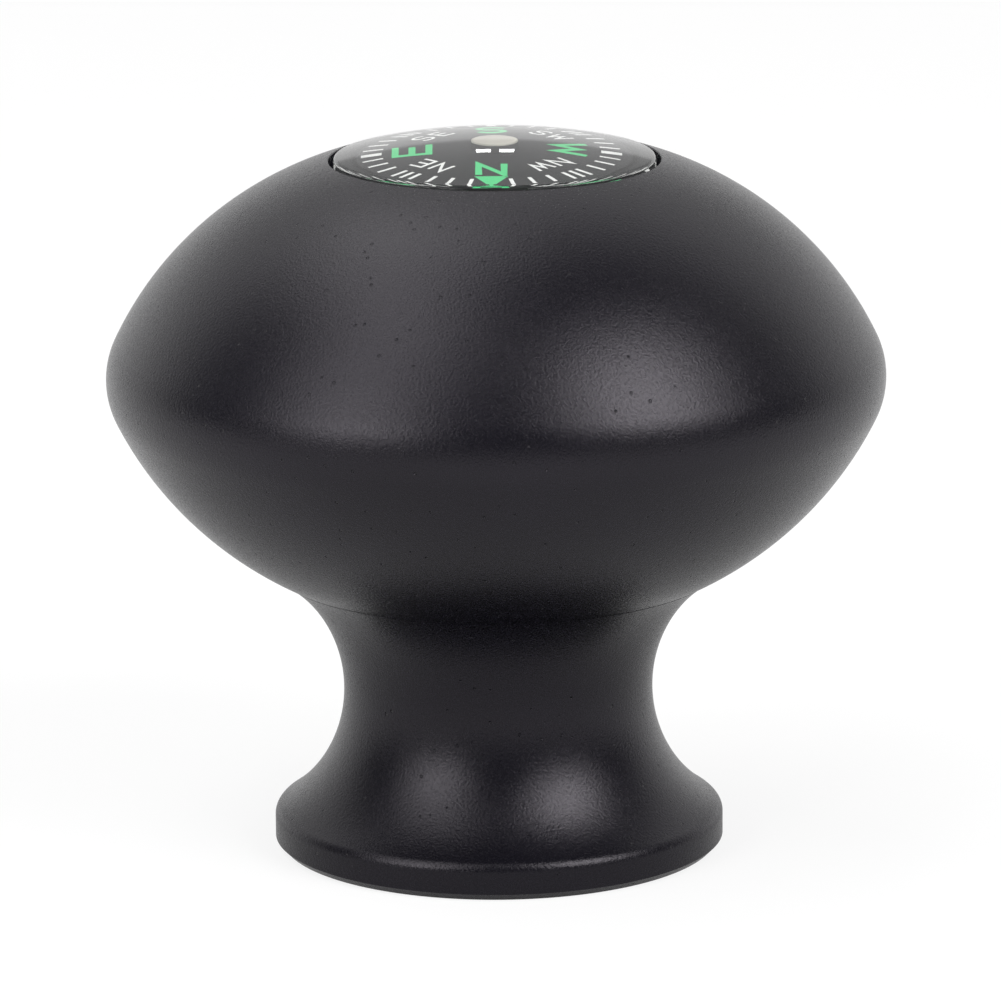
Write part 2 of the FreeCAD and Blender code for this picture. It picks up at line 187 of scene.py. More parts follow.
class DialSettings(PropertyGroup):
    """Print on the card."""

    cardinal_height: FloatProperty(
        name="Cardinal height", description="Height of N, E, S and W", default=2.48 * MM,
        unit="LENGTH")
    cardinal_width: FloatProperty(
        name="Cardinal width", description="Width of N, E, S and W", default=1.95 * MM, unit="LENGTH")
    spread_width: FloatProperty(
        name="E and W width", description="Width of the wider letters E and W", default=2.6 * MM,
        unit="LENGTH")
    shift: FloatProperty(
        name="Print shift", description="Sideways misprint of the dial, towards east",
        default=0.2 * MM, unit="LENGTH")
    setback: FloatProperty(
        name="Print setback", description="Misprint of the dial towards south", default=0.2 * MM,
        unit="LENGTH")
    cardinal_foot: FloatProperty(
        name="Cardinal foot", description="Distance of a cardinal's foot from the axis",
        default=3.54 * MM, unit="LENGTH")
    half_height: FloatProperty(
        name="Half-point height", description="Height of the half-point letters",
        default=1.5 * MM, unit="LENGTH")
    half_width: FloatProperty(
        name="Half-point width", description="Width of one half-point letter", default=1.15 * MM,
        unit="LENGTH")
    half_foot: FloatProperty(
        name="Half-point foot", description="Distance of a half-point's foot from the axis",
        default=4.28 * MM, unit="LENGTH")
    tick_inner: FloatProperty(
        name="Tick inner end", description="Inner end of the ticks", default=6.65 * MM,
        unit="LENGTH")
    tick_outer: FloatProperty(
        name="Tick outer end", description="Outer end of the ticks", default=7.95 * MM,
        unit="LENGTH")
    tick_width: FloatProperty(
        name="Tick width", description="Width of an ordinary tick", default=0.24 * MM, unit="LENGTH")
    tick_bold: FloatProperty(
        name="Cardinal tick width", description="Width of the ticks at the cardinals",
        default=0.62 * MM, unit="LENGTH")
    arrow_base: FloatProperty(
        name="Arrow base", description="Distance of the north arrow's base from the axis",
        default=6.10 * MM, unit="LENGTH")
    arrow_tip: FloatProperty(
        name="Arrow tip", description="Distance of the north arrow's tip from the axis",
        default=8.1 * MM, unit="LENGTH")
    arrow_width: FloatProperty(
        name="Arrow width", description="Width of the north arrow's base", default=2.05 * MM,
        unit="LENGTH")
    print_height: FloatProperty(
        name="Print height", description="Thickness of the printed ink", default=0.02 * MM,
        unit="LENGTH")
    green: FloatVectorProperty(
        name="Green ink", description="Cardinals and north arrow", subtype="COLOR", size=3,
        default=(0.07, 0.57, 0.21))
    white: FloatVectorProperty(
        name="White ink", description="Half-points and ticks", subtype="COLOR", size=3,
        default=(0.80, 0.80, 0.78))


# ---------------------------------------------------------------- surfaces


def arc(start, end, radius, turn, count):
    """Short arc from start to end, without its last point.

    The centre is the chord's middle, moved to its left for an anticlockwise turn and to its right
    for a clockwise one, by the root of the radius squared less half the chord squared. The angle
    then changes evenly from the start.
    """
    start, end = np.array(start, float), np.array(end, float)
    chord = end - start
    length = np.hypot(*chord)
    side = np.array([-chord[1], chord[0]]) / length * turn
    centre = (start + end) / 2 + side * math.sqrt(max(radius ** 2 - length ** 2 / 4, 0))
    first = math.atan2(*(start - centre)[::-1])
    sweep = 2 * math.asin(min(1.0, length / 2 / radius)) * turn
    angles = first + sweep * np.arange(count) / count
    return np.stack([centre[0] + radius * np.cos(angles), centre[1] + radius * np.sin(angles)], 1)


def outline(*stretches):
    """Join points and arcs into one outline of (radius, height) rows."""
    return np.concatenate([np.atleast_2d(np.asarray(stretch, float)) for stretch in stretches])


def mesh_object(name, points, faces, smooth_angle=30):
    """Mesh object at the origin from an array of points and a list of faces of any size."""
    mesh = bpy.data.meshes.new(name)
    mesh.from_pydata(points.tolist(), [], [list(map(int, face)) for face in faces])
    mesh.update()
    mesh.polygons.foreach_set("use_smooth", np.ones(len(mesh.polygons), bool))
    mesh.set_sharp_from_angle(angle=math.radians(smooth_angle))
    piece = bpy.data.objects.new(name, mesh)
    bpy.context.scene.collection.objects.link(piece)
    return piece


def turned(name, loop, segments, smooth_angle=30):
    """Surface of revolution about Z.

    Point (i, j) is loop[i]'s radius times (cos, sin) of j * 360 / segments degrees, at loop[i]'s
    height. The loop runs anticlockwise in the (radius, height) plane, and points on the axis
    become single pole vertices, joined to their rings by triangles.
    """
    loop = np.asarray(loop, float)
    on_axis = loop[:, 0] < ON_AXIS
    turns = np.arange(segments) * (2 * math.pi / segments)
    rows, points = [], []
    for radius, height in loop:
        first = sum(map(len, points))
        if radius < ON_AXIS:
            rows.append(np.full(segments, first))
            points.append(np.array([[0, 0, height]]))
        else:
            rows.append(first + np.arange(segments))
            ring = np.stack([radius * np.cos(turns), radius * np.sin(turns)], 1)
            points.append(np.column_stack([ring, np.full(segments, height)]))
    faces = []
    for index in range(len(loop)):
        following = (index + 1) % len(loop)
        if on_axis[index] and on_axis[following]:
            continue
        low, high = rows[index], rows[following]
        corners = [low, np.roll(low, -1), np.roll(high, -1), high]
        if on_axis[index]:
            corners = [low, np.roll(high, -1), high]
        elif on_axis[following]:
            corners = [low, np.roll(low, -1), high]
        faces.extend(np.stack(corners, 1).tolist())
    return mesh_object(name, np.concatenate(points), faces, smooth_angle)


def disc(name, node, bore, soft, count, segments):
    """Disc as high and as wide as a CAD node, its upper edge a quarter circle of radius soft."""
    low, high, edge = foot_of(node), top_of(node), radius_of(node)
    shoulder, brink = (edge, high - soft), (edge - soft, high)
    loop = outline((bore, low), (edge, low), arc(shoulder, brink, soft, ANTICLOCKWISE, count),
                   brink, (bore, high))
    return turned(name, loop, segments)


def ribbon(path, width, height, low):
    """Flat printed stroke: a mitred ribbon of even width along an open path, given a thickness.

    At each point the edge moves sideways by half the width along the mean of the two
    neighbouring normals, lengthened by one over the cosine of half the turn. A very sharp turn
    counts as a blunter one, so that its mitre stays short.
    """
    least_cosine = 0.35
    path = np.asarray(path, float)
    along = np.diff(path, axis=0)
    along /= np.linalg.norm(along, axis=1, keepdims=True)
    normals = np.stack([-along[:, 1], along[:, 0]], 1)
    before = np.vstack([normals[:1], normals])
    after = np.vstack([normals, normals[-1:]])
    middle = before + after
    middle /= np.linalg.norm(middle, axis=1, keepdims=True)
    reach = width / 2 / np.maximum((middle * before).sum(1), least_cosine)
    left, right = path + middle * reach[:, None], path - middle * reach[:, None]
    count = len(path)
    flat = np.concatenate([left, right])
    points = np.concatenate([
        np.column_stack([flat, np.full(2 * count, low)]),
        np.column_stack([flat, np.full(2 * count, low + height)])])
    left_row, right_row = np.arange(count), np.arange(count) + count
    up = 2 * count
    faces = []
    for start in range(count - 1):
        a, b = left_row[start], left_row[start + 1]
        c, d = right_row[start + 1], right_row[start]
        faces += [[a + up, d + up, c + up, b + up], [a, b, c, d],
                  [a, a + up, b + up, b], [c, c + up, d + up, d]]
    first, last = (left_row[0], right_row[0]), (left_row[-1], right_row[-1])
    faces.append([first[0], first[1], first[1] + up, first[0] + up])
    faces.append([last[0], last[0] + up, last[1] + up, last[1]])
    return points, faces


def printed(name, strokes, dial):
    """One mesh object from many (points, faces) strokes, moved by the dial's misprint."""
    points, faces, first = [], [], 0
    for stroke_points, stroke_faces in strokes:
        points.append(stroke_points + np.array([-dial.shift, dial.setback, 0]))
        faces += [[corner + first for corner in face] for face in stroke_faces]
        first += len(stroke_points)
    return mesh_object(name, np.concatenate(points), faces, smooth_angle=20)


# ---------------------------------------------------------------- materials


# The part of a noise's range that holds nearly all of its values.
NOISE_MIDDLE = (0.3, 0.7)


def new_material(name, colour, roughness, metallic=0.0):
    """Principled material with constant values on its own sockets."""
    material = bpy.data.materials.new(name)
    material.use_nodes = True
    shader = material.node_tree.nodes["Principled BSDF"]
    shader.inputs["Base Color"].default_value = (*colour, 1)
    shader.inputs["Roughness"].default_value = roughness
    shader.inputs["Metallic"].default_value = metallic
    material.diffuse_color = (*colour, 1)
    return material, shader


def add_node(owner, kind, **values):
    """New shader node of a material or world, with some of its inputs set by name."""
    node = owner.node_tree.nodes.new(kind)
    for name, value in values.items():
        node.inputs[name].default_value = value
    return node


def wire(owner, *pairs):
    """Link each pair's first socket to its second."""
    for source, target in pairs:
        owner.node_tree.links.new(source, target)


def feed(owner, value, socket):
    """Give a socket a number, or what another socket says."""
    if isinstance(value, float):
        socket.default_value = value
    else:
        wire(owner, (value, socket))


def scaled(colour, factor):
    """Colour times a factor, at most white."""
    return tuple(min(1.0, channel * factor) for channel in colour)


def object_noise(material, size, detail=2.0, roughness=0.5):
    """Noise on Object coordinates whose lumps are about size metres across."""
    place = add_node(material, "ShaderNodeTexCoord")
    noise = add_node(material, "ShaderNodeTexNoise", Scale=1 / size, Detail=detail, Roughness=roughness)
    wire(material, (place.outputs["Object"], noise.inputs["Vector"]))
    return noise.outputs["Fac"]


def ranged(owner, source, low, high, start, end, kind="LINEAR"):
    """Socket that goes from start to end while its source goes from low to high."""
    span = {"From Min": low, "From Max": high, "To Min": start, "To Max": end}
    node = add_node(owner, "ShaderNodeMapRange", **span)
    node.interpolation_type = kind
    wire(owner, (source, node.inputs["Value"]))
    return node.outputs["Result"]


def combined(owner, operation, first, second):
    """Socket of two sockets or numbers joined by an operation."""
    node = add_node(owner, "ShaderNodeMath")
    node.operation = operation
    feed(owner, first, node.inputs[0])
    feed(owner, second, node.inputs[1])
    return node.outputs[0]


def chosen(owner, share, other, value):
    """Socket that is value where share is 1 and other where it is 0."""
    mix = add_node(owner, "ShaderNodeMix")
    wire(owner, (share, mix.inputs["Factor"]))
    feed(owner, other, mix.inputs["A"])
    feed(owner, value, mix.inputs["B"])
    return mix.outputs["Result"]


def blended(material, share, first, second):
    """Surface of the first shader where share is 0 and of the second where it is 1."""
    mix = add_node(material, "ShaderNodeMixShader")
    output = material.node_tree.nodes["Material Output"]
    wire(material, (share, mix.inputs[0]), (first.outputs[0], mix.inputs[1]),
         (second.outputs[0], mix.inputs[2]), (mix.outputs[0], output.inputs["Surface"]))


def seen(owner, path):
    """Socket that is 1 where the camera looks, straight or through the lens."""
    return combined(owner, "MAXIMUM", path["Is Camera Ray"], path["Is Transmission Ray"])


def tinted(material, shader, source, dark, light):
    """Base colour between dark and light, chosen by a 0 to 1 socket."""
    mix = add_node(material, "ShaderNodeMix")
    mix.data_type = "RGBA"
    mix.inputs["A"].default_value = (*dark, 1)
    mix.inputs["B"].default_value = (*light, 1)
    wire(material, (source, mix.inputs["Factor"]), (mix.outputs["Result"], shader.inputs["Base Color"]))


def roughened(material, shader, noise, start, end):
    """Roughness that goes from start to end over the middle of a noise."""
    wire(material, (ranged(material, noise, *NOISE_MIDDLE, start, end), shader.inputs["Roughness"]))


def bumped(material, shader, source, depth):
    """Bump of the given depth in metres on the shader's normal."""
    bump = add_node(material, "ShaderNodeBump", Distance=depth)
    wire(material, (source, bump.inputs["Height"]), (bump.outputs["Normal"], shader.inputs["Normal"]))
    return bump


def scattered_pits(material, spacing, radius, share):
    """Socket that is 1 inside rare round pits and 0 elsewhere.

    A pit is a ball of the given radius round a Voronoi point, kept where the point's own random
    red is under the given share.
    """
    place = add_node(material, "ShaderNodeTexCoord")
    cells = add_node(material, "ShaderNodeTexVoronoi", Scale=1 / spacing, Randomness=1.0)
    random = add_node(material, "ShaderNodeSeparateColor")
    wire(material, (place.outputs["Object"], cells.inputs["Vector"]),
         (cells.outputs["Color"], random.inputs["Color"]))
    rare = combined(material, "LESS_THAN", random.outputs["Red"], share)
    edge = radius / spacing
    inside = ranged(material, cells.outputs["Distance"], edge / 2, edge, 1.0, 0.0)
    return combined(material, "MULTIPLY", inside, rare)


def anodised_black(settings):
    """Blasted and anodised aluminium: black, fine-grained, with a few tiny pits."""
    colour, roughness = tuple(settings.colour), settings.roughness
    uneven = 0.05
    material, shader = new_material("anodised_black", colour, roughness)
    shader.inputs["Specular IOR Level"].default_value = 0.28
    shader.inputs["Specular Tint"].default_value = (0.98, 0.92, 1.0, 1)
    grain = object_noise(material, settings.grain, detail=3.0, roughness=0.65)
    cloud = object_noise(material, 60 * settings.grain)
    pit = scattered_pits(material, settings.pit_spacing, radius=0.12 * MM, share=0.55)
    tinted(material, shader, cloud, scaled(colour, 0.7), scaled(colour, 1.35))
    roughened(material, shader, grain, roughness - uneven, roughness + uneven)
    fine = bumped(material, shader, grain, settings.grain_depth)
    deep = add_node(material, "ShaderNodeBump", Distance=0.09 * MM)
    deep.invert = True
    wire(material, (pit, deep.inputs["Height"]), (deep.outputs["Normal"], fine.inputs["Normal"]))
    return material


def moulded(name, colour, roughness, grain=0.25 * MM, depth=0.003 * MM, contrast=0.15):
    """Moulded plastic, rubber or ink: soft mottling and a shallow grain."""
    uneven = 0.04
    material, shader = new_material(name, colour, roughness)
    noise = object_noise(material, grain, detail=3.0)
    tinted(material, shader, noise, scaled(colour, 1 - contrast), scaled(colour, 1 + contrast))
    roughened(material, shader, noise, roughness - uneven, roughness + uneven)
    bumped(material, shader, noise, depth)
    return material


def turned_metal(name, colour, roughness):
    """Turned metal: fine rings across the axis and a little tarnish."""
    material, shader = new_material(name, colour, roughness, metallic=1.0)
    place = add_node(material, "ShaderNodeTexCoord")
    rings = add_node(material, "ShaderNodeTexWave", Scale=2500.0, Distortion=0.6, Detail=2.0)
    rings.bands_direction = "Z"
    wire(material, (place.outputs["Object"], rings.inputs["Vector"]))
    tarnish = object_noise(material, 2.5 * MM, detail=4.0)
    tinted(material, shader, tarnish, scaled(colour, 0.72), colour)
    roughened(material, shader, tarnish, roughness + 0.12, roughness)
    bumped(material, shader, rings.outputs["Fac"], 0.002 * MM)
    return material


def clear_medium(name, index):
    """Clear moulding that bends light by its index and lets lamp light through to the card."""
    material, shader = new_material(name, (1.0, 1.0, 1.0), roughness=0.02)
    shader.inputs["Transmission Weight"].default_value = 1.0
    shader.inputs["IOR"].default_value = index
    path = add_node(material, "ShaderNodeLightPath")
    passing = add_node(material, "ShaderNodeBsdfTransparent", Color=(0.92, 0.93, 0.93, 1))
    blended(material, path.outputs["Is Shadow Ray"], shader, passing)
    return material


def finished(piece, body, slot, *materials, stands_for=()):
    """Give a piece its materials and its body; its slot is not used."""
    piece.data.materials.clear()
    for material in materials:
        piece.data.materials.append(material)
    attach(piece, body)
    if stands_for:
        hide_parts(*stands_for)
    return piece


def dress_node(node, material):
    """Give a carried-over CAD node its material."""
    cad = bpy.data.objects[node]
    if not cad.material_slots:
        cad.data.materials.append(material)
    for slot in cad.material_slots:
        slot.material = material


# ---------------------------------------------------------------- pieces


# Metal round the thread insert, the vent above it, and the core of its M8 thread.
INSERT_WALL = 1 * MM
VENT_RADIUS = 1 * MM
CORE_RADIUS = 3.4 * MM


class COMPASS_OT_head(Operator):
    """Turned head: underside arc, equator bead, crown and the pocket for the capsule."""

    bl_idname = "compass.head"
    bl_label = "Head"

    def execute(self, context):
        sizes = context.scene.compass_housing
        seam, floor = foot_of("head_shell"), foot_of("cushion_ring")
        bead_axis = sizes.head_radius - sizes.bead_arc
        edge = bead_axis + sizes.bead_arc * math.cos(sizes.bead_angle)
        rise = sizes.bead_arc * math.sin(sizes.bead_angle)
        lip = sizes.mouth_radius + sizes.mouth_round
        crown = sizes.crown_centre + math.sqrt(sizes.crown_arc ** 2 - (lip - sizes.crown_axis) ** 2)
        mouth_arc, gap = 1.2 * sizes.mouth_round, 0.5 * MM
        socket = radius_of("thread_insert") + INSERT_WALL
        ceiling = top_of("pedestal_stem") + gap
        start = (sizes.seam_radius, seam + sizes.seam_break)
        low, high = (edge, sizes.equator - rise), (edge, sizes.equator + rise)
        brink, wall = (lip, crown), (sizes.mouth_radius, crown - sizes.mouth_round)
        loop = outline(
            (socket, seam), (sizes.seam_radius - 2 * sizes.seam_break, seam),
            arc(start, low, sizes.underside_arc, ANTICLOCKWISE, count=40),
            arc(low, high, sizes.bead_arc, ANTICLOCKWISE, count=32),
            arc(high, brink, sizes.crown_arc, ANTICLOCKWISE, count=48),
            arc(brink, wall, mouth_arc, ANTICLOCKWISE, count=6),
            wall, (sizes.mouth_radius, floor), (VENT_RADIUS, floor), (VENT_RADIUS, ceiling),
            (socket, ceiling))
        head = turned("head", loop, sizes.segments)
        finished(head, "housing", "black_anodised", anodised_black(sizes), stands_for=["head_shell"])
        return {"FINISHED"}


class COMPASS_OT_pedestal(Operator):
    """Pedestal: foot with its upright rim, one concave neck and the spigot into the head."""

    bl_idname = "compass.pedestal"
    bl_label = "Pedestal"

    def execute(self, context):
        sizes = context.scene.compass_housing
        seam, foot, top = foot_of("head_shell"), radius_of("pedestal_stem"), top_of("pedestal_stem")
        bore, depth = radius_of("thread_insert"), top_of("thread_insert")
        spigot = bore + INSERT_WALL
        # The spigot has an undercut at its root, and a chamfer as wide as its step at its end.
        step, undercut = 0.5 * MM, 1 * MM
        rim, drop = foot - sizes.foot_round / 2, 0.57 * sizes.foot_round
        flare = (rim, sizes.waist - math.sqrt(sizes.neck_arc ** 2 - (sizes.neck_axis - rim) ** 2))
        shoulder = (foot, sizes.foot_rim - drop)
        crease = (sizes.seam_radius - sizes.seam_break, seam - sizes.seam_break)
        outer, recess, recess_width = radius_of("base_gasket"), top_of("base_gasket"), 3 * MM
        inner = outer - recess_width
        loop = outline(
            (bore, 0), (inner, 0), (inner, recess), (outer, recess), (outer, 0),
            (foot - sizes.foot_chamfer, 0), (foot, sizes.foot_chamfer),
            arc(shoulder, flare, sizes.foot_round, ANTICLOCKWISE, count=8),
            arc(flare, crease, sizes.neck_arc, CLOCKWISE, count=64),
            crease, (sizes.seam_radius - 2 * sizes.seam_break, seam),
            (spigot - step, seam), (spigot - step, seam + undercut), (spigot, seam + undercut + step),
            (spigot, top - step), (spigot - step, top), (VENT_RADIUS, top),
            (VENT_RADIUS, depth + CORE_RADIUS - VENT_RADIUS), (CORE_RADIUS, depth), (bore, depth))
        pedestal = turned("pedestal", loop, sizes.segments)
        material = bpy.data.materials["anodised_black"]
        finished(pedestal, "housing", "black_anodised", material, stands_for=["pedestal_stem"])
        return {"FINISHED"}


class COMPASS_OT_insert(Operator):
    """Brass insert whose bore carries a real M8 thread."""

    bl_idname = "compass.insert"
    bl_label = "Thread insert"

    def execute(self, context):
        length, outer = top_of("thread_insert"), radius_of("thread_insert")
        depth, pitch, lead = 0.6 * MM, 1.25 * MM, 0.4 * MM
        rows, columns = 150, 72
        turns = np.arange(columns) * 2 * math.pi / columns
        heights = np.linspace(length, 0, rows)[:, None]
        # The bore's radius is a triangle wave of height less turn, from crest to root and back. The
        # wave fades out over one pitch at both ends, and the bore opens in a cone at the foot.
        phase = (heights / pitch - turns / (2 * math.pi)) % 1
        fade = np.clip(heights / pitch, 0, 1) * np.clip((length - heights) / pitch, 0, 1)
        bore = CORE_RADIUS + depth * (1 - np.abs(2 * phase - 1)) * fade
        bore += lead * np.clip(1 - heights / lead, 0, 1)
        walls = [np.stack([bore * np.cos(turns), bore * np.sin(turns),
                           np.repeat(heights, columns, 1)], 2)]
        for height in (0, length):
            ring = [outer * np.cos(turns), outer * np.sin(turns), np.full(columns, height)]
            walls.append(np.stack(ring, 1)[None])
        grid = np.concatenate(walls)
        index = np.arange(grid.shape[0] * columns).reshape(grid.shape[0], columns)
        following = np.roll(index, -1, 0)
        quads = np.stack([index, np.roll(index, -1, 1), np.roll(following, -1, 1), following], 2)
        points, faces = grid.reshape(-1, 3), quads.reshape(-1, 4)
        insert = mesh_object("stud_insert", points, faces, smooth_angle=40)
        brass = turned_metal("turned_brass", (0.72, 0.52, 0.24), roughness=0.28)
        finished(insert, "housing", "brass", brass, stands_for=["thread_insert"])
        return {"FINISHED"}


class COMPASS_OT_bowl(Operator):
    """Capsule bowl, its seal and the rings that hold it in the pocket."""

    bl_idname = "compass.bowl"
    bl_label = "Bowl and rings"

    def execute(self, context):
        sizes, housing = context.scene.compass_capsule, context.scene.compass_housing
        rubber = moulded("black_rubber", (0.016, 0.016, 0.017), roughness=0.62, grain=0.2 * MM,
                         depth=0.006 * MM)
        black = moulded("bowl_black", (0.012, 0.012, 0.013), roughness=0.4)
        for node in ("base_gasket", "cushion_ring", "capsule_o_ring"):
            dress_node(node, rubber)
        dress_node("capsule_bowl", black)
        low, high = foot_of("lens_seal_ring"), top_of("lens_seal_ring")
        outer, inner = radius_of("lens_seal_ring"), sizes.chamber_radius
        bulge = 0.8 * (high - low)
        loop = outline((inner, low), arc((outer, low), (outer, high), bulge, ANTICLOCKWISE, count=6),
                       (outer, high), (inner, high))
        seal = turned("seal", loop, housing.segments)
        finished(seal, "housing", "black_rubber", rubber, stands_for=["lens_seal_ring"])
        return {"FINISHED"}


class COMPASS_OT_lens(Operator):
    """Dome lens: two concentric spheres over an upright edge that stands on the seal."""

    bl_idname = "compass.lens"
    bl_label = "Dome lens"

    def execute(self, context):
        sizes, housing = context.scene.compass_capsule, context.scene.compass_housing
        foot, apex, edge = foot_of("dome_lens"), top_of("dome_lens"), radius_of("dome_lens")
        centre = apex - sizes.dome_arc
        inner_arc = sizes.dome_arc - sizes.dome_wall
        shoulder = edge - sizes.edge_round
        rim = centre + math.sqrt(sizes.dome_arc ** 2 - shoulder ** 2)
        bevel, rim_arc = 0.1 * MM, 1.25 * sizes.edge_round
        # A sphere's height is its centre plus the root of its arc squared less the radius squared.
        across = shoulder * np.cos(np.linspace(0, math.pi / 2, 49))
        across[-1] = 0
        outer = np.stack([across, centre + np.sqrt(sizes.dome_arc ** 2 - across ** 2)], 1)
        back = sizes.chamber_radius * np.sin(np.linspace(0, math.pi / 2, 41))
        inner = np.stack([back, centre + np.sqrt(inner_arc ** 2 - back ** 2)], 1)
        loop = outline(
            (sizes.chamber_radius, foot), (edge - bevel, foot), (edge, foot + bevel),
            arc((edge, foot + sizes.edge_height), (shoulder, rim), rim_arc, ANTICLOCKWISE, count=8),
            outer, inner)
        lens = turned("lens", loop, housing.segments, smooth_angle=40)
        dry = clear_medium("clear_lens", sizes.lens_index)
        wetted = clear_medium("lens_on_liquid", sizes.lens_index / sizes.liquid_index)
        finished(lens, "housing", "clear_acrylic", dry, wetted, stands_for=["dome_lens"])
        # Faces under the middle of the dome's wall and inside its edge meet the liquid, not air.
        mesh = lens.data
        centres = np.empty(len(mesh.polygons) * 3)
        mesh.polygons.foreach_get("center", centres)
        centres = centres.reshape(-1, 3)
        radii = np.hypot(centres[:, 0], centres[:, 1])
        middle_arc = sizes.dome_arc - sizes.dome_wall / 2
        middle = centre + np.sqrt(middle_arc ** 2 - np.minimum(radii, edge) ** 2)
        wet = (radii < sizes.chamber_radius + 0.001 * MM) & (centres[:, 2] < middle)
        mesh.polygons.foreach_set("material_index", wet.astype(np.int32))
        mesh.update()
        return {"FINISHED"}


class COMPASS_OT_card(Operator):
    """Compass card and the pale cap on its hub."""

    bl_idname = "compass.card"
    bl_label = "Card and cap"

    def execute(self, context):
        sizes, housing = context.scene.compass_capsule, context.scene.compass_housing
        card = disc("card_disc", "compass_card", sizes.card_bore, soft=0.15 * MM, count=6,
                    segments=housing.segments)
        black = moulded("card_black", tuple(sizes.card_colour), roughness=0.5, grain=0.15 * MM,
                        depth=0.002 * MM)
        finished(card, "card", "card_black", black, stands_for=["compass_card"])
        soft = (top_of("hub_cap") - foot_of("hub_cap")) / 2
        cap = disc("cap_disc", "hub_cap", 0, soft, count=8, segments=96)
        cream = moulded("cap_cream", tuple(sizes.cap_colour), roughness=0.35, grain=0.2 * MM,
                        depth=0.002 * MM, contrast=0.08)
        finished(cap, "card_hub_body", "cap_cream", cream, stands_for=["hub_cap"])
        return {"FINISHED"}


def letter_paths(letter):
    """Strokes of a capital in a box one wide and one high, as open paths with mitred corners."""
    if letter == "N":
        return [[(0, 0), (0, 1), (1, 0), (1, 1)]]
    if letter == "W":
        return [[(0, 0.97), (0.25, 0.05), (0.5, 0.75), (0.75, 0.05), (1, 0.97)]]
    if letter == "E":
        return [[(1, 1), (0, 1), (0, 0), (1, 0)], [(0.1, 0.5), (0.85, 0.5)]]
    # S: two half-circle bowls, the upper one turning left and the lower one right.
    turn = np.linspace(math.radians(20), math.radians(270), 14)
    upper = np.stack([0.5 + 0.5 * np.cos(turn), 0.745 + 0.255 * np.sin(turn)], 1)
    lower = np.stack([1 - upper[:, 0], 1 - upper[:, 1]], 1)[::-1]
    return [np.concatenate([upper, lower[1:]])]


def placed_letter(letter, bearing, shift, foot, width, height, weight, level, ink):
    """Strokes of one letter, its foot at a radius and its top outwards along a bearing.

    A bearing of 0 is north at -Y, and bearings grow clockwise seen from above. A point of the
    letter goes shift plus its own x along the letter's right hand, and foot plus y outwards.
    """
    outwards = np.array([-math.sin(bearing), -math.cos(bearing)])
    right = np.array([outwards[1], -outwards[0]])
    strokes = []
    for path in letter_paths(letter):
        path = np.asarray(path, float)
        across = shift + (path[:, 0] - 0.5) * (width - weight)
        out = foot + weight / 2 + path[:, 1] * (height - weight)
        strokes.append(ribbon(across[:, None] * right + out[:, None] * outwards, weight, ink, level))
    return strokes


class COMPASS_OT_dial(Operator):
    """Printed dial: cardinals, half-points, ticks and the north arrow."""

    bl_idname = "compass.dial"
    bl_label = "Dial print"

    def execute(self, context):
        sizes = context.scene.compass_dial
        level = top_of("compass_card")
        ink = sizes.print_height
        green = moulded("green_ink", tuple(sizes.green), roughness=0.5, grain=0.12 * MM,
                        depth=0.001 * MM, contrast=0.08)
        white = moulded("white_ink", tuple(sizes.white), roughness=0.5, grain=0.12 * MM,
                        depth=0.001 * MM, contrast=0.06)
        cardinal_widths = {"E": sizes.spread_width, "W": 1.2 * sizes.spread_width}
        weight = 0.17 * sizes.cardinal_height
        for quarter, letter in enumerate("NESW"):
            bearing = quarter * math.pi / 2
            wide = cardinal_widths.get(letter, sizes.cardinal_width)
            strokes = placed_letter(letter, bearing, 0, sizes.cardinal_foot, wide, sizes.cardinal_height,
                                    weight, level, ink)
            finished(printed("letter_" + letter, strokes, sizes), "card", "card_black", green)
        half_widths = {"W": 1.25 * sizes.half_width}
        weight, apart = 0.13 * sizes.half_height, 0.682 * sizes.half_width
        for quarter, pair in enumerate(("NE", "SE", "SW", "NW")):
            bearing = (quarter + 0.5) * math.pi / 2
            strokes = []
            for side, letter in zip((-1, 1), pair):
                wide = half_widths.get(letter, sizes.half_width)
                strokes += placed_letter(letter, bearing, side * apart, sizes.half_foot, wide,
                                         sizes.half_height, weight, level, ink)
            finished(printed("letters_" + pair, strokes, sizes), "card", "card_black", white)
        bearings = [(math.radians(angle), angle % 90 == 0) for angle in range(10, 360, 10)]
        bearings += [(math.radians(angle), False) for angle in range(45, 360, 90)]
        ticks = []
        for bearing, bold in bearings:
            outwards = np.array([-math.sin(bearing), -math.cos(bearing)])
            path = np.outer([sizes.tick_inner, sizes.tick_outer], outwards)
            ticks.append(ribbon(path, sizes.tick_bold if bold else sizes.tick_width, ink, level))
        finished(printed("ticks", ticks, sizes), "card", "card_black", white)
        half, base, tip = sizes.arrow_width / 2, sizes.arrow_base, sizes.arrow_tip
        corners = np.array([(-half, -base), (0, -tip), (half, -base)])
        points = np.concatenate([np.column_stack([corners, np.full(3, level + up)]) for up in (0, ink)])
        faces = [[0, 2, 1], [3, 4, 5], [0, 1, 4, 3], [1, 2, 5, 4], [2, 0, 3, 5]]
        arrow = printed("north_arrow", [(points, faces)], sizes)
        finished(arrow, "card", "card_black", green)
        return {"FINISHED"}


